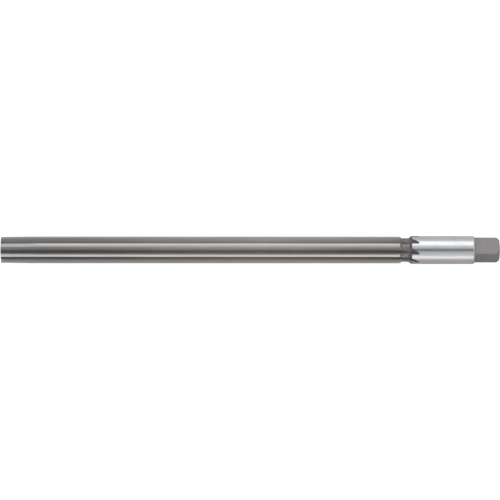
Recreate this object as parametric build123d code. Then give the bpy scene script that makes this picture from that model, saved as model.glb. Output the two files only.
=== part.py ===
from build123d import *
from math import cos, pi, radians, sin, sqrt, tan
import os

# Hand reamer for a 10 mm hole: one piece of hardened tool steel, turned, milled and ground.
# Lengths are in millimetres and angles in degrees.
# The tool lies along X: its cutting end is towards -X and its square towards +X.
# It rests on z = 0, so its axis runs half a shank diameter above that, and x = 0 is mid-length.

# Lengths along the axis, from the cutting end to the square.
flute_length = 144.5
neck_length = 2.5
neck_cone_length = 1.1
shank_length = 22.7
square_length = 9.2

# Diameters, and how far the thinner stretches lie below the thicker ones.
cutting_diameter = 10.0
shank_diameter = 10.1
neck_depth = 0.75
square_step = 0.38
square_across_flats = 7.0

# Starting taper of the cutting end, and the small bevels.
lead_length = 11.0
lead_drop = 0.19
tip_bevel = 0.1
rear_bevel_length = 0.5
shank_bevel_length = 0.4
square_end_length = 1.2
square_end_drop = 1.07
square_root_radius = 0.6

# Both end faces are flat in a narrow rim round the centre hole, and fall back outside it.
face_rim_width = 0.35
face_drop = 0.2

# How far the first tooth, and the first flat of the square, are turned from straight up.
tooth_turn = 27.0
square_turn = 25.0

# Angles from each tooth to the next, for half the teeth. They differ a little against chatter,
# and the other half repeats them, so that every tooth has one straight opposite.
tooth_spacing = (46.0, 44.5, 45.5, 44.0)

# Teeth. The flute has a cutting face that leans back from the radius, a rounded root and a
# sloping back.
face_lean = 4.0
flute_depth = 1.55
flute_angle = 77.0
flute_root_radius = 0.3
flute_mill_diameter = 32.0
margin_width = 0.35
relief_angle = 8.0
lead_relief_angle = 10.0

# Centre holes in both end faces, on which the tool was turned and ground.
centre_mouth_diameter = 3.35
centre_pilot_diameter = 1.6
centre_pilot_length = 1.9
centre_angle = 60.0
drill_point_angle = 118.0

# How far every cutter starts outside the metal.
clear = 1.0

cutting_radius = cutting_diameter / 2
shank_radius = shank_diameter / 2
neck_radius = cutting_radius - neck_depth
tang_radius = shank_radius - square_step
face_rim_radius = centre_mouth_diameter / 2 + face_rim_width

tooth_turns = [tooth_turn - sum((tooth_spacing * 2)[:k]) for k in range(2 * len(tooth_spacing))]
square_turns = [square_turn + 90 * k for k in range(4)]

run_out_start = flute_length - rear_bevel_length
neck_end = flute_length + neck_length
shank_start = neck_end + neck_cone_length
shank_end = shank_start + shank_length
overall_length = shank_end + square_length


def turned_blank():
    """The turned bar, spun from its half profile, before anything is milled."""
    tip_radius = cutting_radius - lead_drop
    profile = [
        (0, 0),
        (0, face_rim_radius),
        (face_drop, tip_radius - tip_bevel),
        (face_drop + tip_bevel, tip_radius),
        (lead_length, cutting_radius),
        (run_out_start, cutting_radius),
        (flute_length, neck_radius),
        (neck_end, neck_radius),
        (shank_start, shank_radius),
        (shank_end - shank_bevel_length, shank_radius),
        (shank_end, tang_radius),
        (overall_length - square_end_length, tang_radius),
        (overall_length - face_drop, tang_radius - square_end_drop),
        (overall_length, face_rim_radius),
        (overall_length, 0),
    ]
    return revolve(Plane.XZ * Polygon(*profile, align=None), Axis.X)


def centre_hole():
    """A centre drill's hole from the face at x = 0 inwards: a cone, a pilot and the drill's point."""
    mouth = centre_mouth_diameter / 2
    pilot = centre_pilot_diameter / 2
    cone_slope = tan(radians(centre_angle / 2))
    cone_end = (mouth - pilot) / cone_slope
    pilot_end = cone_end + centre_pilot_length
    point_end = pilot_end + pilot / tan(radians(drill_point_angle / 2))
    profile = [
        (-clear, 0),
        (-clear, mouth + clear * cone_slope),
        (cone_end, pilot),
        (pilot_end, pilot),
        (point_end, 0),
    ]
    return revolve(Plane.XZ * Polygon(*profile, align=None), Axis.X)


# A tooth's cutters are drawn with its edge straight above the axis, on +Z. Their section lies
# across the tool, with y along the edge of the tool's round and z out from the axis. The flute
# is on the +Y side of the edge, the land on the -Y side. The wheel that mills the flute lies
# against the cutting face, so the flute is drawn with that face upright and then tipped.


def flute_mill():
    """One flute at full depth along the teeth, and the arc in which the wheel leaves the shank."""
    face = cutting_radius * sin(radians(face_lean))
    core_radius = cutting_radius - flute_depth
    root = sqrt((core_radius + flute_root_radius) ** 2 - (face + flute_root_radius) ** 2)
    corner = root - flute_root_radius / tan(radians(flute_angle / 2))
    top = shank_radius + clear
    back = face + (top - corner) * tan(radians(flute_angle))
    outline = Polygon((face, corner), (back, top), (face, top), align=None)
    deepest = outline.vertices().sort_by(Axis.Y)[0]
    section = Plane.YZ * fillet(deepest, flute_root_radius)
    channel = extrude(Pos(-clear, 0, 0) * section, clear + run_out_start, dir=(1, 0, 0))
    wheel_height = root - flute_root_radius + flute_mill_diameter / 2
    wheel_axis = Axis((run_out_start, 0, wheel_height), (0, -1, 0))
    run_out = revolve(Pos(run_out_start, 0, 0) * section, wheel_axis, 60)
    return Rot(X=face_lean) * (channel + run_out)


def relief_section(start, radius, angle):
    """A slab outside the land, from start degrees behind the edge, that falls off by angle."""
    width = 0.45 * pi * cutting_diameter / len(tooth_turns)
    fall = start + angle
    origin = Vector(-radius * sin(radians(start)), radius * cos(radians(start)))
    along = Vector(-cos(radians(fall)), -sin(radians(fall))) * width
    out = Vector(-sin(radians(fall)), cos(radians(fall))) * clear
    corners = [origin, origin + along, origin + along + out, origin + out]
    return Plane.YZ * Polygon(*[(c.X, c.Y) for c in corners], align=None)


def land_grinder():
    """The relief behind the margin, from the tip to the neck."""
    margin_angle = margin_width / cutting_radius * 180 / pi
    section = relief_section(margin_angle, cutting_radius, relief_angle)
    reach = clear + flute_length + neck_length / 2
    return extrude(Pos(-clear, 0, 0) * section, reach, dir=(1, 0, 0))


def lead_grinder():
    """The relief of the starting taper, ground up to the edge and run out over the margin."""
    slope = lead_drop / (lead_length - face_drop - tip_bevel)
    start = -clear
    radius = cutting_radius - (lead_length - start) * slope
    section = relief_section(0, radius, lead_relief_angle)
    reach = 1.6 * lead_length - start
    return extrude(Pos(start, 0, 0) * section, reach, dir=(1, 0, slope))


def flat_mill():
    """One flat of the square, with the small radius that its cutter leaves at the shank."""
    reach = square_length + clear
    middle = shank_end + reach / 2
    slab = Pos(middle, 0, square_across_flats / 2 + shank_radius / 2)
    slab = slab * Box(reach, shank_diameter, shank_radius)
    corner = slab.edges().filter_by(Axis.Y).group_by(Axis.Z)[0].sort_by(Axis.X)[0]
    return fillet(corner, square_root_radius)


def turned_about_axis(cutter, turns):
    """Copies of a cutter, each turned about the tool's axis from straight up."""
    return [Rot(X=-turn) * cutter for turn in turns]


def hand_reamer():
    """The finished tool, with its tip at x = 0 and its axis on X."""
    tool = turned_blank()
    tool -= turned_about_axis(land_grinder(), tooth_turns)
    tool -= turned_about_axis(lead_grinder(), tooth_turns)
    tool -= turned_about_axis(flute_mill(), tooth_turns)
    tool -= turned_about_axis(flat_mill(), square_turns)
    tool -= centre_hole()
    tool -= Pos(overall_length, 0, 0) * Rot(Z=180) * centre_hole()
    return tool


reamer = Pos(-overall_length / 2, 0, shank_radius) * hand_reamer()
reamer.label = "hand_reamer"

os.makedirs("parts", exist_ok=True)
export_step(reamer, "parts/hand_reamer.step")
print("hand_reamer", len(reamer.solids()), "solid", round(reamer.volume, 1), "mm3")
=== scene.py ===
# %% [markdown]
# # A hand reamer, turned, milled and ground in Blender
#
# A hand reamer finishes a drilled hole to an exact size. It is one piece of hardened tool steel:
# a bar is turned on a lathe, eight flutes are milled along it, the lands between the flutes are
# ground, and a square is milled on the end for a tap wrench. This lesson takes the same steps,
# though it grinds before it mills. Each cutter is a solid of its own, and each leaves its own
# finish on the metal.

import math

import bmesh
import bpy
from mathutils import Matrix, Vector


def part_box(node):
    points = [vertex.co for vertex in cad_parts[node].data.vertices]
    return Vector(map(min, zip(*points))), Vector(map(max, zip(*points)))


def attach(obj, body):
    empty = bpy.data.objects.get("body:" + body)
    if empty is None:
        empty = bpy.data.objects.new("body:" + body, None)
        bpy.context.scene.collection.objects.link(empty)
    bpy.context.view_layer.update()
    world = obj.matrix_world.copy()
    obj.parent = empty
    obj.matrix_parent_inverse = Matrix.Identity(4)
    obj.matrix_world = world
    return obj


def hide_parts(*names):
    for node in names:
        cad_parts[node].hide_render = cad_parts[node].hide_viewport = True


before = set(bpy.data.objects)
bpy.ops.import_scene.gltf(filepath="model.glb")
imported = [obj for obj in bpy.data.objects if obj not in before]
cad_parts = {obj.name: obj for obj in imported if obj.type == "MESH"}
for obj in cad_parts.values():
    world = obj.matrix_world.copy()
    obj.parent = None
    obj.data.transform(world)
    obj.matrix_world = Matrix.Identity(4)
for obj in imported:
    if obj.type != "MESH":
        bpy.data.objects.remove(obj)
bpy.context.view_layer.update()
low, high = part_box("hand_reamer")
print("the solid reaches from", [round(v, 5) for v in low], "to", [round(v, 5) for v in high])

# %% [markdown]
# ## Sizes
#
# Blender works in metres and a toolmaker in millimetres, so every size is written in millimetres
# times `MM`. The length, the shank and the place of the axis come from the frame. The rest are
# the sizes that a drawing of the tool would give, each where it is first needed. Distances along
# the tool are counted from its tip.

# %% Sizes along the tool
MM = 0.001
LENGTH = high.x - low.x
SHANK_RADIUS = (high.z - low.z) / 2
AXIS_HEIGHT = low.z + SHANK_RADIUS
TIP = low.x

FLUTE_LENGTH = 144.5 * MM
REAR_BEVEL = 0.5 * MM
NECK_LENGTH = 2.5 * MM
NECK_CONE_LENGTH = 1.1 * MM
SQUARE_LENGTH = 9.2 * MM

RUN_OUT_START = FLUTE_LENGTH - REAR_BEVEL
NECK_END = FLUTE_LENGTH + NECK_LENGTH
SHANK_START = NECK_END + NECK_CONE_LENGTH
SHANK_END = LENGTH - SQUARE_LENGTH
print("the tool is", round(LENGTH / MM, 2), "mm long")
print("its shank runs from", round(SHANK_START / MM, 2), "to", round(SHANK_END / MM, 2), "mm")

# %% [markdown]
# ## Finishes
#
# The tool has seven finishes, and each face of the mesh carries the number of one of them. The
# materials are made further down. Here they only get their numbers, so that every turned
# surface and every cutter can say which finish it leaves. Faces could also be picked by their
# place once the tool is done, but the cutter that makes a face already knows its finish.

# %% Numbers of the finishes
GROUND_LAND, GROUND_LEAD, GROUND_FACE, MILLED_FLUTE, HARDENED_SKIN, GROUND_SHANK, MATT_SQUARE = range(7)
print("finishes are numbered from", GROUND_LAND, "to", MATT_SQUARE)

# %% [markdown]
# ## The turned blank
#
# A lathe makes round things, and the spin operator is Blender's lathe: it sweeps a half profile
# round an axis. A cylinder with loop cuts could be scaled ring by ring, but a profile reads like
# the drawing. It has the starting taper, or lead, the neck, the bevels and both centre holes, in
# which the lathe and the grinder hold the bar, so that one full turn makes the whole blank. The
# many steps keep the round stretches smooth enough for a bright surface.

# %% Sizes of the turned surfaces
CUTTING_RADIUS = 5.0 * MM
LEAD_LENGTH = 11.0 * MM
LEAD_DROP = 0.19 * MM
TIP_RADIUS = CUTTING_RADIUS - LEAD_DROP
TIP_BEVEL = 0.1 * MM
FACE_DROP = 0.2 * MM
NECK_RADIUS = 4.25 * MM
SHANK_BEVEL = 0.4 * MM

# The tang is the round end that the square is milled from.
TANG_RADIUS = 4.67 * MM
TANG_BEVEL_LENGTH = 1.2 * MM
TANG_BEVEL_DROP = 1.07 * MM

# The wheel that grinds the shank stops this far behind the cone.
GRINDING_GAP = 0.2 * MM

LEAD_SLOPE = (CUTTING_RADIUS - TIP_RADIUS) / (LEAD_LENGTH - FACE_DROP - TIP_BEVEL)
print("the lead tapers by", round(math.degrees(math.atan(LEAD_SLOPE)), 2), "degrees a side")

# %% Sizes of the centre holes
MOUTH_RADIUS = 1.675 * MM
RIM_WIDTH = 0.35 * MM
RIM_RADIUS = MOUTH_RADIUS + RIM_WIDTH
PILOT_RADIUS = 0.8 * MM
PILOT_LENGTH = 1.9 * MM
CONE_HALF_ANGLE = math.radians(30)
POINT_HALF_ANGLE = math.radians(59)

CONE_DEPTH = (MOUTH_RADIUS - PILOT_RADIUS) / math.tan(CONE_HALF_ANGLE)
PILOT_DEPTH = CONE_DEPTH + PILOT_LENGTH
POINT_DEPTH = PILOT_DEPTH + PILOT_RADIUS / math.tan(POINT_HALF_ANGLE)
print("each centre hole is", round(POINT_DEPTH / MM, 2), "mm deep")

# %% Half profile of the blank
# Distance from the tip, distance from the axis, and the finish of the stretch that follows.
PROFILE = [
    (POINT_DEPTH, 0, GROUND_SHANK),
    (PILOT_DEPTH, PILOT_RADIUS, GROUND_SHANK),
    (CONE_DEPTH, PILOT_RADIUS, GROUND_SHANK),
    (0, MOUTH_RADIUS, HARDENED_SKIN),
    (0, RIM_RADIUS, HARDENED_SKIN),
    (FACE_DROP, TIP_RADIUS - TIP_BEVEL, GROUND_LEAD),
    (FACE_DROP + TIP_BEVEL, TIP_RADIUS, GROUND_LEAD),
    (LEAD_LENGTH, CUTTING_RADIUS, GROUND_LAND),
    (RUN_OUT_START, CUTTING_RADIUS, HARDENED_SKIN),
    (FLUTE_LENGTH, NECK_RADIUS, HARDENED_SKIN),
    (NECK_END, NECK_RADIUS, HARDENED_SKIN),
    (SHANK_START, SHANK_RADIUS, HARDENED_SKIN),
    (SHANK_START + GRINDING_GAP, SHANK_RADIUS, GROUND_SHANK),
    (SHANK_END - SHANK_BEVEL, SHANK_RADIUS, GROUND_SHANK),
    (SHANK_END, TANG_RADIUS, HARDENED_SKIN),
    (LENGTH - TANG_BEVEL_LENGTH, TANG_RADIUS, MATT_SQUARE),
    (LENGTH - FACE_DROP, TANG_RADIUS - TANG_BEVEL_DROP, MATT_SQUARE),
    (LENGTH, RIM_RADIUS, MATT_SQUARE),
    (LENGTH, MOUTH_RADIUS, GROUND_SHANK),
    (LENGTH - CONE_DEPTH, PILOT_RADIUS, GROUND_SHANK),
    (LENGTH - PILOT_DEPTH, PILOT_RADIUS, GROUND_SHANK),
    (LENGTH - POINT_DEPTH, 0, GROUND_SHANK),
]
print("half profile:", len(PROFILE), "corners")

# %% Spin the blank
TURN_STEPS = 360

# Corners that lie closer together than this are merged into one.
SAME_POINT = 0.0004 * MM


def spin_blank():
    """The turned bar, along X from the origin."""
    bm = bmesh.new()
    points = [bm.verts.new((x, 0, r)) for x, r, _ in PROFILE]
    edges = [bm.edges.new(pair) for pair in zip(points, points[1:])]
    bmesh.ops.spin(
        bm, geom=points + edges, cent=(0, 0, 0), axis=(1, 0, 0), dvec=(0, 0, 0),
        angle=2 * math.pi, steps=TURN_STEPS, use_merge=True,
    )
    bmesh.ops.remove_doubles(bm, verts=bm.verts[:], dist=SAME_POINT)
    bmesh.ops.recalc_face_normals(bm, faces=bm.faces[:])
    return bm


blank = spin_blank()
print("turned blank:", len(blank.faces), "faces")

# %% Give each turned face its finish


def distance_to_stretch(place, start, end):
    """Distance from a point of the half section to the straight stretch between two corners."""
    a, b = Vector(start[:2]), Vector(end[:2])
    share = max(0, min(1, (place - a).dot(b - a) / (b - a).length_squared))
    return (place - a - (b - a) * share).length


def turned_finish(middle):
    """The finish of the profile's stretch that a turned face lies on."""
    place = Vector((middle.x, math.hypot(middle.y, middle.z)))
    best = min(zip(PROFILE, PROFILE[1:]), key=lambda pair: distance_to_stretch(place, *pair))
    return best[0][2]


for turned in blank.faces:
    turned.material_index = turned_finish(turned.calc_center_median())
print("finishes on the blank:", sorted({turned.material_index for turned in blank.faces}))

# %% [markdown]
# ## Machining
#
# In a workshop the bar is held in a dividing head, which turns it from one tooth to the next
# under the same cutter. Here a copy of the cutter is turned to each tooth, and Boolean modifiers
# take the copies from the blank. The faces that a cutter leaves behind keep the number of its
# finish, just as a milled flute keeps the look of milling next to a ground land. The alternative
# is to draw the toothed section and sweep it, but then the run-outs and the taper would have to
# be worked out by hand. A workshop grinds the lands last. Here they come first, so that each
# flute cuts a clean edge into a finished land.
#
# The teeth are not quite evenly spaced, because evenly spaced ones tend to chatter. The second
# four repeat the spacing of the first four, so that every tooth has one straight opposite.

# %% Turns of the teeth
FIRST_TOOTH = 27.0
TOOTH_SPACING = (46.0, 44.5, 45.5, 44.0) * 2
TOOTH_TURNS = [
    math.radians(FIRST_TOOTH - sum(TOOTH_SPACING[:k])) for k in range(len(TOOTH_SPACING))
]
print("teeth at", [round(math.degrees(turn), 1) for turn in TOOTH_TURNS], "degrees from straight up")

# %% Helpers for making cutters
# How far every cutter starts outside the metal.
CLEAR = 1.0 * MM


def as_object(bm, name):
    """A mesh object made from a bmesh, at the origin."""
    mesh = bpy.data.meshes.new(name)
    bm.to_mesh(mesh)
    bm.free()
    made = bpy.data.objects.new(name, mesh)
    bpy.context.scene.collection.objects.link(made)
    return made


def swept(bm, face, move):
    """Extrudes a face along a vector and returns the face at the far end."""
    made = bmesh.ops.extrude_face_region(bm, geom=[face])["geom"]
    corners = [v for v in made if isinstance(v, bmesh.types.BMVert)]
    bmesh.ops.translate(bm, vec=move, verts=corners)
    return next(f for f in made if isinstance(f, bmesh.types.BMFace))


def cutters(make, turns):
    """Copies of a cutter, each turned about the tool's axis from straight up."""
    made = []
    for k, turn in enumerate(turns):
        bm = make()
        bmesh.ops.transform(bm, matrix=Matrix.Rotation(-turn, 4, "X"), verts=bm.verts[:])
        bmesh.ops.recalc_face_normals(bm, faces=bm.faces[:])
        made.append(as_object(bm, f"{make.__name__}_{k}"))
    return made


print("cutters start", round(CLEAR / MM, 1), "mm outside the metal")

# %% Put the blank in the machine


def machine(piece, tools):
    """Takes each cutter from the piece, then throws the cutters away."""
    for tool in tools:
        cut = piece.modifiers.new("cut", "BOOLEAN")
        cut.operation = "DIFFERENCE"
        cut.solver = "EXACT"
        cut.object = tool
    graph = bpy.context.evaluated_depsgraph_get()
    result = bpy.data.meshes.new_from_object(piece.evaluated_get(graph))
    piece.modifiers.clear()
    piece.data = result
    for tool in tools:
        bpy.data.objects.remove(tool)
    print("after", len(tools), "cuts:", len(piece.data.polygons), "faces")


reamer = as_object(blank, "ground_reamer")
print("before the cuts:", len(reamer.data.polygons), "faces")

# %% [markdown]
# ## The lands
#
# Behind each cutting edge a narrow margin stays on the tool's full diameter. The rest of the land
# is ground down by a few degrees, so that only the margin touches the hole. This relief could be
# drawn as a dent in the blank's section, but a grinding wheel simply takes a flat slice off the
# round, and a slab does the same. The cutters of the teeth are all drawn for a tooth whose edge
# is straight above the tool's axis, with its flute on the +Y side and its land on the -Y side.

# %% Grind the lands
MARGIN_WIDTH = 0.35 * MM
MARGIN_ANGLE = MARGIN_WIDTH / CUTTING_RADIUS
RELIEF_ANGLE = math.radians(8)

# Wide enough to pass the back of the land, and too narrow to reach the next tooth.
SLAB_WIDTH = 1.77 * MM


def land_slab(behind, radius, relief, move, finish):
    """A slab that lies on the land, from an angle behind the edge, and falls off by relief."""
    fall = behind + relief
    origin = Vector((-CLEAR, -radius * math.sin(behind), radius * math.cos(behind)))
    along = Vector((0, -math.cos(fall), -math.sin(fall))) * SLAB_WIDTH
    out = Vector((0, -math.sin(fall), math.cos(fall))) * CLEAR
    bm = bmesh.new()
    corners = (origin, origin + along, origin + along + out, origin + out)
    swept(bm, bm.faces.new([bm.verts.new(c) for c in corners]), move)
    for face in bm.faces:
        face.material_index = finish
    return bm


def land_cutter():
    """The relief behind the margin, from the tip to the neck."""
    reach = CLEAR + FLUTE_LENGTH + NECK_LENGTH / 2
    return land_slab(MARGIN_ANGLE, CUTTING_RADIUS, RELIEF_ANGLE, (reach, 0, 0), GROUND_LAND)


machine(reamer, cutters(land_cutter, TOOTH_TURNS))

# %% [markdown]
# ## The lead
#
# The lead is the starting taper that centres the tool in the drilled hole. There is no margin on
# it: the relief reaches the edge. Its slab rises with the taper, and runs out over the margin
# behind it, as a wheel does that is only lifted once it is past the taper.

# %% Grind the lead
LEAD_RELIEF_ANGLE = math.radians(10)
LEAD_RELIEF_LENGTH = 1.6 * LEAD_LENGTH


def lead_cutter():
    """The relief of the starting taper, which runs out over the margin."""
    radius = CUTTING_RADIUS - (LEAD_LENGTH + CLEAR) * LEAD_SLOPE
    reach = LEAD_RELIEF_LENGTH + CLEAR
    move = (reach, 0, reach * LEAD_SLOPE)
    return land_slab(0, radius, LEAD_RELIEF_ANGLE, move, GROUND_LEAD)


machine(reamer, cutters(lead_cutter, TOOTH_TURNS))

# %% [markdown]
# ## The flutes
#
# A flute is milled by a wheel with an angled rim. It leaves a straight cutting face, a rounded
# root and a sloping back. The face leans back a few degrees from the radius, so that the edge
# scrapes and leaves a smooth hole. At the shank the wheel is lifted out, and its round edge
# leaves the curved run-out. A plain prism would end in a square step instead. So the cutter is
# the flute's section, extruded along the teeth and then spun about the wheel's own axis. It is
# drawn with the cutting face upright, then tipped until its edge is straight above the tool's
# axis, and turned to its tooth afterwards.

# %% Sizes of the flutes
FACE_LEAN = math.radians(4)
FLUTE_DEPTH = 1.55 * MM
FLUTE_ANGLE = math.radians(77)
ROOT_RADIUS = 0.3 * MM
CORE_RADIUS = CUTTING_RADIUS - FLUTE_DEPTH
WHEEL_RADIUS = 16.0 * MM
RUN_OUT_TURN = math.radians(60)
RUN_OUT_STEPS = 60

# Steps in a rounded corner, of a flute's root and of the square.
CORNER_STEPS = 18

# How far a corner may lie off a plane and still count as lying on it.
ON_PLANE = 0.001 * MM

lift = SHANK_RADIUS - CORE_RADIUS
run_out = math.sqrt(WHEEL_RADIUS**2 - (WHEEL_RADIUS - lift) ** 2)
print("the wheel leaves the shank about", round((RUN_OUT_START + run_out) / MM, 1), "mm from the tip")

# %% Mill the flutes


def flute_cutter():
    """The space of one flute, from in front of the tip to where the wheel leaves the shank."""
    side = CUTTING_RADIUS * math.sin(FACE_LEAN)
    root_height = math.sqrt((CORE_RADIUS + ROOT_RADIUS) ** 2 - (side + ROOT_RADIUS) ** 2)
    root_reach = ROOT_RADIUS / math.tan(FLUTE_ANGLE / 2)
    corner = root_height - root_reach
    top = SHANK_RADIUS + CLEAR
    back = side + (top - corner) * math.tan(FLUTE_ANGLE)
    bm = bmesh.new()
    section = ((side, corner), (back, top), (side, top))
    corners = [bm.verts.new((-CLEAR, y, z)) for y, z in section]
    bm.faces.new(corners)
    bmesh.ops.bevel(
        bm, geom=[corners[0]], offset=root_reach, segments=CORNER_STEPS, profile=0.5,
        affect="VERTICES", material=-1,
    )
    bm.faces.ensure_lookup_table()
    end = swept(bm, bm.faces[0], (CLEAR + RUN_OUT_START, 0, 0))
    wheel_height = root_height - ROOT_RADIUS + WHEEL_RADIUS
    bmesh.ops.spin(
        bm, geom=[end] + end.edges[:] + end.verts[:], cent=(RUN_OUT_START, 0, wheel_height),
        axis=(0, -1, 0), dvec=(0, 0, 0), angle=RUN_OUT_TURN, steps=RUN_OUT_STEPS,
    )
    for face in bm.faces:
        cutting_face = all(v.co.y < side + ON_PLANE for v in face.verts)
        face.material_index = GROUND_FACE if cutting_face else MILLED_FLUTE
    bmesh.ops.transform(bm, matrix=Matrix.Rotation(FACE_LEAN, 4, "X"), verts=bm.verts[:])
    return bm


machine(reamer, cutters(flute_cutter, TOOTH_TURNS))

# %% [markdown]
# ## The square
#
# The square takes the tap wrench, and is milled last. Its corners lie nearly in line with four
# of the teeth, and each keeps a narrow strip of the turned round. The bisect operator makes flats
# too, but it would cut on through the shank, and the mill leaves a small radius where the square
# meets the shank. So the cutter is a box with one edge rounded by a bevel.

# %% Mill the square
ACROSS_FLATS = 7.0 * MM
SQUARE_ROOT_RADIUS = 0.6 * MM
FIRST_FLAT = 25.0
SQUARE_TURNS = [math.radians(FIRST_FLAT + 90 * k) for k in range(4)]


def flat_cutter():
    """The metal that one pass takes off the end, to leave a flat above the axis."""
    reach = SQUARE_LENGTH + CLEAR
    size = Vector((reach, 2 * SHANK_RADIUS, SHANK_RADIUS))
    middle = Vector((SHANK_END + reach / 2, 0, ACROSS_FLATS / 2 + SHANK_RADIUS / 2))
    bm = bmesh.new()
    bmesh.ops.create_cube(bm, size=1)
    bmesh.ops.scale(bm, vec=size, verts=bm.verts[:])
    bmesh.ops.translate(bm, vec=middle, verts=bm.verts[:])
    inner = [e for e in bm.edges if all(v.co.x < middle.x and v.co.z < middle.z for v in e.verts)]
    bmesh.ops.bevel(
        bm, geom=inner, offset=SQUARE_ROOT_RADIUS, segments=CORNER_STEPS, profile=0.5,
        affect="EDGES", material=-1,
    )
    for face in bm.faces:
        face.material_index = MATT_SQUARE
    return bm


machine(reamer, cutters(flat_cutter, SQUARE_TURNS))

# %% [markdown]
# ## Edges and place
#
# The cuts leave a closed mesh whose faces meet at crisp edges. Round stretches have to look round,
# and ground edges sharp. Smoothing by angle alone would blur the faint edge between the lead and
# the lands, which differ by one degree, so an edge is marked sharp where two finishes meet, and
# also where faces meet at more than a few degrees. The margin and the relief behind it differ by
# only 8 degrees, so the limit is low, and the round stretches have steps finer than it. The
# Weighted Normal modifier then keeps the wide flat walls flat where they run into a rounded root.
# The mesh moves to its place in the frame, and the object itself stays at the origin.

# %% Mark the edges and set the piece in the frame
SHARP_FROM = math.radians(6.5)


def is_round(edge):
    """Whether the surface runs on smoothly over an edge."""
    one_finish = len({face.material_index for face in edge.link_faces}) == 1
    return one_finish and edge.is_manifold and edge.calc_face_angle() < SHARP_FROM


def finish_mesh(piece):
    """Cleans what the cuts left double or loose, marks sharp edges and moves the mesh to its place."""
    bm = bmesh.new()
    bm.from_mesh(piece.data)
    bmesh.ops.remove_doubles(bm, verts=bm.verts[:], dist=SAME_POINT)
    bmesh.ops.dissolve_degenerate(bm, edges=bm.edges[:], dist=SAME_POINT)
    loose = [v for v in bm.verts if not v.link_faces]
    bmesh.ops.delete(bm, geom=loose, context="VERTS")
    bmesh.ops.translate(bm, vec=(TIP, 0, AXIS_HEIGHT), verts=bm.verts[:])
    for face in bm.faces:
        face.smooth = True
    for edge in bm.edges:
        edge.smooth = is_round(edge)
    print("open edges:", sum(not e.is_manifold for e in bm.edges))
    print("volume:", round(bm.calc_volume() / MM**3, 1), "cubic millimetres")
    bm.to_mesh(piece.data)
    bm.free()
    weighted = piece.modifiers.new("weighted", "WEIGHTED_NORMAL")
    weighted.keep_sharp = True


finish_mesh(reamer)
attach(reamer, "root")
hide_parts("hand_reamer")

# %% [markdown]
# ## Steel
#
# All seven finishes are the same hardened tool steel, so they differ only in colour, roughness
# and surface, which come from how each was worked. Grinding along the tool leaves streaks that
# run for centimetres and are a few hundredths of a millimetre wide. Grinding round the shank
# leaves rings. The neck and the square keep a mottled skin from hardening. A painted picture
# could show all that from one side. Patterns worked out from the place on the tool go round it,
# and down into the flutes.

# %% Helpers for colours and nodes


def linear(code):
    """A colour written as sRGB hex, as the linear values that nodes take."""
    parts = [int(code[k : k + 2], 16) / 255 for k in (1, 3, 5)]
    return tuple(c / 12.92 if c <= 0.04045 else ((c + 0.055) / 1.055) ** 2.4 for c in parts) + (1,)


def add(tree, kind, inputs=None, stops=(), **settings):
    """Adds a node with its settings, fills or links its inputs, and sets the stops of a ramp."""
    node = tree.nodes.new(kind)
    for name, value in settings.items():
        setattr(node, name, value)
    for name, value in (inputs or {}).items():
        by_name = (s for s in node.inputs if s.enabled and s.name == name)
        socket = node.inputs[name] if isinstance(name, int) else next(by_name)
        if isinstance(value, bpy.types.Node):
            value = next(s for s in value.outputs if s.enabled)
        if isinstance(value, bpy.types.NodeSocket):
            tree.links.new(value, socket)
        else:
            socket.default_value = value
    if stops:
        ramp = node.color_ramp.elements
        ramp.remove(ramp[1])
        ramp[0].position, ramp[0].color = stops[0]
        for position, colour in stops[1:]:
            ramp.new(position).color = colour
    return node


print("half grey #808080 is", round(linear("#808080")[0], 3), "of white in linear light")

# %% [markdown]
# The finishes are built on three patterns: marks of a given length and width, how far a point
# lies from the tool's axis, and how far it lies from the tip. Object coordinates give the place
# for all three, so they stay on the steel however it is turned.

# %% Patterns on the tool
# Noise keeps near the middle of its range, so this part of it is stretched over the whole.
NOISE_LOW = 0.3
NOISE_HIGH = 0.7


def marks(tree, size, detail=3.0):
    """A pattern from 0 to 1, of marks that are size long in X, Y and Z, in metres, on the tool."""
    place = add(tree, "ShaderNodeTexCoord").outputs["Object"]
    spread = add(tree, "ShaderNodeMapping", {"Vector": place, "Scale": [1 / s for s in size]})
    noise = add(tree, "ShaderNodeTexNoise", {"Vector": spread, "Scale": 1.0, "Detail": detail})
    return add(
        tree, "ShaderNodeMapRange",
        {"Value": noise, "From Min": NOISE_LOW, "From Max": NOISE_HIGH},
    )


def out_from_axis(tree, start, end):
    """Rises from 0 to 1 between two distances from the tool's axis."""
    place = add(tree, "ShaderNodeTexCoord").outputs["Object"]
    across = add(
        tree, "ShaderNodeMapping",
        {"Vector": place, "Location": (0, 0, -AXIS_HEIGHT), "Scale": (0, 1, 1)},
    )
    radius = add(tree, "ShaderNodeVectorMath", {0: across}, operation="LENGTH")
    radius = radius.outputs["Value"]
    return add(tree, "ShaderNodeMapRange", {"Value": radius, "From Min": start, "From Max": end})


def along_tool(tree, start, end):
    """Rises from 0 to 1 between two distances from the tip."""
    place = add(tree, "ShaderNodeTexCoord").outputs["Object"]
    x = add(tree, "ShaderNodeSeparateXYZ", {"Vector": place}).outputs["X"]
    return add(
        tree, "ShaderNodeMapRange",
        {"Value": x, "From Min": TIP + start, "From Max": TIP + end},
    )


print("noise from", NOISE_LOW, "to", NOISE_HIGH, "is stretched over the range from 0 to 1")

# %% [markdown]
# A finish is a short function that adds its nodes to a material and hands back four things: its
# colour, its roughness, the height of its marks, and how deep they are. One more function puts
# those four into a metal shader. That leaves each finish with only what is its own. In most of
# them two tones and two degrees of roughness follow one pattern, so a helper makes those.

# %% Helpers for finishes
FINISHES = {}


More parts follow.
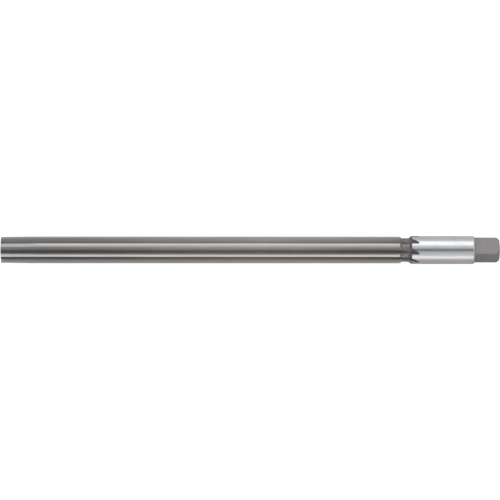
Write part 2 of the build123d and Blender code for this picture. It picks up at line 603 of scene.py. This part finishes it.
def two_tone(tree, pattern, light, dark, smooth, rough):
    """A colour that goes from light to dark with a pattern, and a roughness that rises with it."""
    tones = {"Factor": pattern, "A": linear(light), "B": linear(dark)}
    colour = add(tree, "ShaderNodeMix", tones, data_type="RGBA")
    levels = {"Value": pattern, "To Min": smooth, "To Max": rough}
    return colour, add(tree, "ShaderNodeMapRange", levels)


def steel(name, make, metallic=1.0):
    """A metal material, with the colour, roughness, surface height and its depth from make(tree)."""
    material = bpy.data.materials.new(name)
    material.use_nodes = True
    tree = material.node_tree
    tree.nodes.clear()
    colour, roughness, height, depth = make(tree)
    bump = add(tree, "ShaderNodeBump", {"Height": height, "Distance": depth, "Strength": 1.0})
    shader = add(
        tree, "ShaderNodeBsdfPrincipled",
        {"Base Color": colour, "Metallic": metallic, "Roughness": roughness, "Normal": bump},
    )
    add(tree, "ShaderNodeOutputMaterial", {"Surface": shader})
    print(name, "has", len(tree.nodes), "nodes")
    return material


# %% [markdown]
# ### Ground lands
#
# The lands are ground after hardening, with a fine wheel that runs along the tool, so they are
# the brightest part of the teeth. Their streaks are drawn about 0.15 mm wide, which is coarser
# than real ones, so that they show. An anisotropic shader would stretch the highlights without
# drawing a streak, but close up the marks themselves are what says ground steel.

# %% Ground lands
STREAK = (14 * MM, 0.15 * MM, 0.15 * MM)
GRINDING_DEPTH = 0.002 * MM


def ground_land(tree):
    streaks = marks(tree, STREAK)
    colour, roughness = two_tone(
        tree, streaks, light="#bdbbb8", dark="#aba9a6", smooth=0.25, rough=0.34
    )
    return colour, roughness, streaks, GRINDING_DEPTH


FINISHES[GROUND_LAND] = steel("tool_steel_ground_land", ground_land)

# %% [markdown]
# ### Ground lead
#
# The lead does nearly all the cutting, so it is ground by itself and reground when it is dull.
# Fresh grinding leaves it a cooler, more even grey than the lands behind it. The lands' finish
# could change its tint at the end of the lead. But the relief runs out over the lands in a curve,
# and the faces of the lead carry their own number, so a finish of its own ends at the true edge.

# %% Ground lead


def ground_lead(tree):
    streaks = marks(tree, STREAK)
    colour, roughness = two_tone(
        tree, streaks, light="#b2b2b4", dark="#a2a2a5", smooth=0.28, rough=0.36
    )
    return colour, roughness, streaks, GRINDING_DEPTH


FINISHES[GROUND_LEAD] = steel("tool_steel_ground_lead", ground_lead)

# %% [markdown]
# ### Ground cutting faces
#
# The cutting faces look across the flutes at the backs of the teeth before them. They are ground
# with the side of the wheel, which leaves a silky surface. It is rougher than the lands, so it
# spreads the light into a broad, even shine. A plain grey paint would be as even, but it would
# not brighten and darken as the tool turns, so the face stays metal and only its roughness rises.

# %% Ground cutting faces


def ground_face(tree):
    streaks = marks(tree, STREAK)
    colour, roughness = two_tone(
        tree, streaks, light="#cfcecd", dark="#bebdbc", smooth=0.5, rough=0.6
    )
    return colour, roughness, streaks, GRINDING_DEPTH


FINISHES[GROUND_FACE] = steel("tool_steel_ground_face", ground_face)

# %% [markdown]
# ### Milled flutes
#
# The backs of the flutes are milled before hardening and only brushed clean after it. So they are
# darker than the lands. Deep down they are painted darker still: painted shade, for the light that
# the teeth keep out of the roots. The tint drifts slowly along the tool, from a neutral grey at the
# tip to a lighter and warmer one past the middle: a painted reflection along the tool. A single
# colour would look like plastic over so long a stretch. From the neck on, where the wheel runs out,
# the skin from hardening stays, brown on the neck and blue-grey on the shank.

# %% Tints of the milled flutes
# Share of the way from the tip to the run-outs, and the tint there: by the lands, and deep down,
# where it is darker as painted shade. Along the tool the tints carry a painted reflection.
HIGH_TINTS = [
    (0.03, linear("#969698")), (0.15, linear("#929293")), (0.65, linear("#afaca9")),
    (1.0, linear("#9e9c9a")),
]
SHADED_DEEP_TINTS = [
    (0.03, linear("#696767")), (0.15, linear("#686664")), (0.65, linear("#87827c")),
    (1.0, linear("#676360")),
]

# The skin from hardening: on the neck, deep down and by the lands, and on the shank. Deep down
# it is darker, as painted shade. It sets in over the last stretch of the teeth.
NECK_SHADED_DEEP = linear("#5f5c5a")
NECK_HIGH = linear("#959290")
SHANK_SKIN = linear("#606164")
SKIN_FADE = 1 * MM
print("the flutes have", len(HIGH_TINTS), "tints by the lands and", len(SHADED_DEEP_TINTS), "deep down")

# %% Milled flutes
TINT_PATCH = (30 * MM, 2.5 * MM, 2.5 * MM)
PATCH_SHADE = linear("#e4e3e2")
MILLING_DEPTH = 0.003 * MM


def milled_metal(tree):
    """The tint of the milled steel before its streaks: painted shade by depth, and a painted reflection
    along the tool.
    """
    along = along_tool(tree, 0, RUN_OUT_START)
    high = add(tree, "ShaderNodeValToRGB", {"Fac": along}, HIGH_TINTS)
    deep = add(tree, "ShaderNodeValToRGB", {"Fac": along}, SHADED_DEEP_TINTS)
    # Darker deep down, as painted shade in the roots of the flutes.
    rise = out_from_axis(tree, CORE_RADIUS, CUTTING_RADIUS)
    tint_with_painted_light = add(tree, "ShaderNodeMix", {"Factor": rise, "A": deep, "B": high}, data_type="RGBA")
    brown = add(
        tree, "ShaderNodeMix", {"Factor": rise, "A": NECK_SHADED_DEEP, "B": NECK_HIGH}, data_type="RGBA"
    )
    at_shank = along_tool(tree, NECK_END, SHANK_START)
    skin = add(
        tree, "ShaderNodeMix", {"Factor": at_shank, "A": brown, "B": SHANK_SKIN}, data_type="RGBA"
    )
    at_neck = along_tool(tree, RUN_OUT_START - SKIN_FADE, FLUTE_LENGTH)
    return add(tree, "ShaderNodeMix", {"Factor": at_neck, "A": tint_with_painted_light, "B": skin}, data_type="RGBA")


def milled_flute(tree):
    streaks = marks(tree, STREAK)
    patches = marks(tree, TINT_PATCH, detail=1.0)
    metal = milled_metal(tree)
    uneven = add(tree, "ShaderNodeMix", {"Factor": 0.5, "A": streaks, "B": patches})
    colour = add(
        tree, "ShaderNodeMix", {"Factor": uneven, "A": metal, "B": PATCH_SHADE},
        data_type="RGBA", blend_type="MULTIPLY",
    )
    roughness = add(tree, "ShaderNodeMapRange", {"Value": streaks, "To Min": 0.42, "To Max": 0.52})
    return colour, roughness, streaks, MILLING_DEPTH


FINISHES[MILLED_FLUTE] = steel("tool_steel_milled_flute", milled_flute)

# %% [markdown]
# ### Hardened skin
#
# The neck is turned and then left as it comes out of hardening: a dark, mottled skin with a dull
# shine. The face at the tip and the strips at the corners of the square keep it too. In the corner
# in front of the shank, where the grinding wheel stops short, the skin is painted darkest: painted
# shade on the cone there, which faces the tip. The skin is a thin oxide that covers part of the
# steel. The two could be shaders of their own, mixed by a mask, but the spots are too small to tell
# apart. The eye sees their average, which one shader gives when it is not wholly metallic.

# %% Hardened skin
MOTTLE = (0.8 * MM, 0.8 * MM, 0.8 * MM)
TURNED_RING = (0.12 * MM, 4 * MM, 4 * MM)
TURNING_DEPTH = 0.004 * MM
OXIDISED = 0.7

# The painted shade on the cone in front of the shank sets in between two places on the cone. It
# ends between two more, which lie in the ground shank and are written far one first, so that the
# strips at the square stay lighter.
SHADE_SETS_IN = (NECK_END + 0.4 * MM, NECK_END + 0.7 * MM)
SHADE_ENDS = (SHANK_END - 2 * MM, SHANK_END - 3 * MM)
CONE_PAINTED_SHADE = linear("#565454")


def hardened_skin(tree):
    mottle = marks(tree, MOTTLE, detail=4.0)
    rings = marks(tree, TURNED_RING, detail=1.0)
    dark, light = linear("#64605f"), linear("#8f8b89")
    open_skin = add(
        tree, "ShaderNodeMix", {"Factor": mottle, "A": dark, "B": light}, data_type="RGBA"
    )
    # The cone is painted darker: painted shade, as a cone that faces the tip shows it.
    cone = along_tool(tree, *SHADE_SETS_IN)
    before_square = along_tool(tree, *SHADE_ENDS)
    cone_shade = add(tree, "ShaderNodeMath", {0: cone, 1: before_square}, operation="MULTIPLY")
    colour = add(
        tree, "ShaderNodeMix", {"Factor": cone_shade, "A": open_skin, "B": CONE_PAINTED_SHADE},
        data_type="RGBA",
    )
    roughness = add(tree, "ShaderNodeMapRange", {"Value": mottle, "To Min": 0.6, "To Max": 0.45})
    return colour, roughness, rings, TURNING_DEPTH


FINISHES[HARDENED_SKIN] = steel("tool_steel_hardened_skin", hardened_skin, OXIDISED)

# %% [markdown]
# ### Ground shank
#
# The shank is ground round to size, and polished further by the chuck and by hands. It has the
# sharpest reflections on the tool, drawn out a little by rings about 0.1 mm apart, coarser than
# real ones so that they show. Faint smears along it change the shine, as handling does. The
# rings could be cut into the mesh, but that takes thousands of faces for marks under a thousandth
# of a millimetre deep. A bump pattern takes none, and the outline of the shank stays true.

# %% Ground shank
GROUND_RING = (0.1 * MM, 4 * MM, 4 * MM)
SMEAR = (6 * MM, 2 * MM, 2 * MM)
POLISHED_DEPTH = 0.0008 * MM


def ground_shank(tree):
    rings = marks(tree, GROUND_RING)
    smears = marks(tree, SMEAR, detail=2.0)
    colour, roughness = two_tone(
        tree, smears, light="#cccccc", dark="#c4c4c4", smooth=0.18, rough=0.24
    )
    return colour, roughness, rings, POLISHED_DEPTH


FINISHES[GROUND_SHANK] = steel("tool_steel_ground_shank", ground_shank)

# %% [markdown]
# ### Matt square
#
# The flats of the square are milled and left matt, with a faint mottle from hardening. Milling
# marks run along the tool, drawn 0.2 mm apart so that they show. The same thin oxide as on the
# neck covers part of the steel. The finish of the neck could serve here too, but its rings would
# lie across the flats, where a milling cutter leaves straight marks along them.

# %% Matt square
MILLING_MARK = (5 * MM, 0.2 * MM, 0.2 * MM)
FLAT_MOTTLE = (1.2 * MM, 1.2 * MM, 1.2 * MM)


def matt_square(tree):
    mottle = marks(tree, FLAT_MOTTLE, detail=4.0)
    milling = marks(tree, MILLING_MARK)
    light, dark = linear("#8a8788"), linear("#827f80")
    colour = add(tree, "ShaderNodeMix", {"Factor": mottle, "A": light, "B": dark}, data_type="RGBA")
    roughness = add(tree, "ShaderNodeMapRange", {"Value": milling, "To Min": 0.5, "To Max": 0.6})
    return colour, roughness, milling, MILLING_DEPTH


FINISHES[MATT_SQUARE] = steel("tool_steel_matt_square", matt_square, OXIDISED)

# %% [markdown]
# ## Dress the tool
#
# A face's finish number is the place of its material in the object's list, so the materials are
# added in the order of their numbers. Each finish could be an object of its own instead, but the
# tool is one piece of steel, and a single mesh stays closed.

# %% Give each finish its material
for number in sorted(FINISHES):
    reamer.data.materials.append(FINISHES[number])
print("finishes:", [m.name for m in reamer.data.materials])

# %% [markdown]
# ## Floor
#
# The tool lies on white paper. The camera has to see the paper white, and metal reflects whatever
# lies round it, so the paper glows a little: strongly for the camera, and faintly for reflections,
# because close to the tool the real paper is in its shade. On the far side, under the stronger
# lamp, it is brighter. More light would whiten the paper too, but it would bleach the steel.

# %% Sizes of the paper
FLOOR_HALF = 12.0
GLOW_SEEN = 0.71
GLOW_NEAR = 0.03
GLOW_FAR = 0.2
SHADE_EDGE = 5 * MM
print("the floor is", 2 * FLOOR_HALF, "m wide")

# %% White floor


def white_paper():
    """The material of the floor: matt, with a glow that reflections see more faintly."""
    material = bpy.data.materials.new("white_paper")
    material.use_nodes = True
    tree = material.node_tree
    tree.nodes.clear()
    path = add(tree, "ShaderNodeLightPath").outputs
    mirrored = add(
        tree, "ShaderNodeMath", {0: path["Is Glossy Ray"], 1: path["Is Transmission Ray"]},
        operation="ADD",
    )
    place = add(tree, "ShaderNodeTexCoord").outputs["Object"]
    across = add(tree, "ShaderNodeSeparateXYZ", {"Vector": place}).outputs["Y"]
    # In reflections the glow is painted light: low on the near side as painted shade beside the tool,
    # higher on the far side as a painted pool of light from the stronger lamp.
    level = add(
        tree, "ShaderNodeMapRange",
        {"Value": across, "From Min": -SHADE_EDGE, "From Max": SHADE_EDGE, "To Min": GLOW_NEAR,
         "To Max": GLOW_FAR},
    )
    faint = add(tree, "ShaderNodeMath", {0: mirrored, 1: level}, operation="MULTIPLY")
    glow = add(
        tree, "ShaderNodeMath", {0: path["Is Camera Ray"], 1: GLOW_SEEN, 2: faint},
        operation="MULTIPLY_ADD",
    )
    paper = add(tree, "ShaderNodeBsdfDiffuse", {"Color": linear("#c4c4c4")})
    light = add(tree, "ShaderNodeEmission", {"Strength": glow})
    lit_paper = add(tree, "ShaderNodeAddShader", {0: paper, 1: light})
    add(tree, "ShaderNodeOutputMaterial", {"Surface": lit_paper})
    print("the paper has", len(tree.nodes), "nodes")
    return material


sheet = bmesh.new()
bmesh.ops.create_grid(sheet, x_segments=1, y_segments=1, size=FLOOR_HALF)
floor = as_object(sheet, "floor")
floor.data.materials.append(white_paper())

# %% [markdown]
# ## Light tent
#
# Polished steel has hardly any look of its own: it shows the room. A few bare lamps would leave it
# black with white sparks. So the light is a tent of white cloth, brightest where lamps shine on
# it from outside, dim where it meets the floor, with a dark gap overhead for the camera. The gap
# draws the dark line along the top of the shank. The near side is dimmer than the far one. It is
# warm low down, beside the lamp, and cool towards the gap, where daylight comes in.

# %% Colours of the cloth
# Angle from straight overhead, in degrees, and the colour of the cloth there.
NEAR_CLOTH = [
    (90, "#c1bebb"), (75, "#d5d2cf"), (60, "#e0e0e0"), (40, "#d1d7dc"), (20, "#b8bec4"),
    (10, "#969ba0"), (4, "#535659"),
]
FAR_CLOTH = [
    (90, "#dfdfdf"), (75, "#f2f2f2"), (60, "#fbfbfb"), (40, "#f6f6f6"), (20, "#e3e3e3"),
    (10, "#b8b8b8"), (4, "#636363"),
]
TENT_STRENGTH = 1.2
print("colours of the cloth:", len(NEAR_CLOTH), "on the near side,", len(FAR_CLOTH), "on the far one")

# %% Put up the tent


def by_height(cloth):
    """The colours of a cloth as the stops of a ramp, by how high a direction points."""
    return [(math.cos(math.radians(angle)), linear(code)) for angle, code in cloth]


def light_tent():
    """The world, which the camera sees only past the floor and the steel sees everywhere."""
    world = bpy.data.worlds.new("light_tent")
    world.use_nodes = True
    tree = world.node_tree
    tree.nodes.clear()
    outwards = add(tree, "ShaderNodeTexCoord").outputs["Generated"]
    direction = add(tree, "ShaderNodeSeparateXYZ", {"Vector": outwards}).outputs
    near = add(tree, "ShaderNodeValToRGB", {"Fac": direction["Z"]}, by_height(NEAR_CLOTH))
    far = add(tree, "ShaderNodeValToRGB", {"Fac": direction["Z"]}, by_height(FAR_CLOTH))
    side = add(tree, "ShaderNodeMapRange", {"Value": direction["Y"], "From Min": -1.0})
    both = add(tree, "ShaderNodeMix", {"Factor": side, "A": near, "B": far}, data_type="RGBA")
    sky = add(tree, "ShaderNodeBackground", {"Color": both, "Strength": TENT_STRENGTH})
    add(tree, "ShaderNodeOutputWorld", {"Surface": sky})
    print("the tent has", len(tree.nodes), "nodes")
    return world


bpy.context.scene.world = light_tent()

# %% [markdown]
# ## Softboxes
#
# A long softbox on each side of the tool adds the two bright bands along it. They could be
# brighter patches of the cloth, but lamps of their own also shape the soft shadow on the paper.
# The far one is broader and white, and the near one a little warm.

# %% Softboxes
SOFTBOX_DISTANCE = 1.0
SOFTBOX_LENGTH = 2.4


def softbox(name, angle, width, brightness, colour):
    """A long softbox beside the tool, at an angle from overhead, with an even brightness."""
    lamp = bpy.data.lights.new(name, "AREA")
    lamp.shape = "RECTANGLE"
    lamp.size = SOFTBOX_LENGTH
    lamp.size_y = width
    lamp.energy = brightness * math.pi * SOFTBOX_LENGTH * width
    lamp.color = linear(colour)[:3]
    made = bpy.data.objects.new(name, lamp)
    bpy.context.scene.collection.objects.link(made)
    tilt = math.radians(angle)
    made.location = Vector((0, math.sin(tilt), math.cos(tilt))) * SOFTBOX_DISTANCE
    made.rotation_euler = (-tilt, 0, 0)
    made.visible_camera = False
    print(name, "gives", round(lamp.energy, 2), "W")


softbox("far_softbox", angle=56, width=0.62, brightness=0.62, colour="#ffffff")
softbox("near_softbox", angle=-64, width=0.48, brightness=0.56, colour="#ffebe0")

# %% [markdown]
# ## Camera
#
# The tool is seen from straight above, from so far that its two ends look alike. An orthographic
# camera would do that too, but a long lens high above keeps the little perspective that a real
# lens has. The picture is 500 pixels wide, and the tool's ends lie at two known pixels. The tool
# also lies a hair askew in the picture, so the camera is turned by that.

# %% Camera
PICTURE_WIDTH = 500
TIP_PIXEL = 0.6
END_PIXEL = 499.75

# Pixels by which the tip lies above the line of the square, and the whole axis above the middle.
TIP_LIFT = 0.2
AXIS_LIFT = 0.08

# In metres: how high the camera is above the axis, and how far it sees.
CAMERA_HEIGHT = 2.0
CLIP_END = 50.0

pixel = LENGTH / (END_PIXEL - TIP_PIXEL)
camera = bpy.data.objects.new("camera", bpy.data.cameras.new("camera"))
bpy.context.scene.collection.objects.link(camera)
bpy.context.scene.camera = camera
middle = TIP + (PICTURE_WIDTH / 2 - TIP_PIXEL) * pixel
camera.location = (middle, -AXIS_LIFT * pixel, AXIS_HEIGHT + CAMERA_HEIGHT)
camera.rotation_euler = (0, 0, TIP_LIFT / (END_PIXEL - TIP_PIXEL))
camera.data.lens = camera.data.sensor_width * CAMERA_HEIGHT / (PICTURE_WIDTH * pixel)
camera.data.clip_end = CLIP_END
camera.data.dof.use_dof = False
print("one pixel is", round(pixel / MM, 4), "mm, lens", round(camera.data.lens), "mm")

# %% [markdown]
# ## Colours
#
# Blender's default view softens bright colours as a film does. Standard shows each colour as it
# is written, so the greys above can be set side by side with a picture.

# %% Set the view
bpy.context.scene.view_settings.view_transform = "Standard"
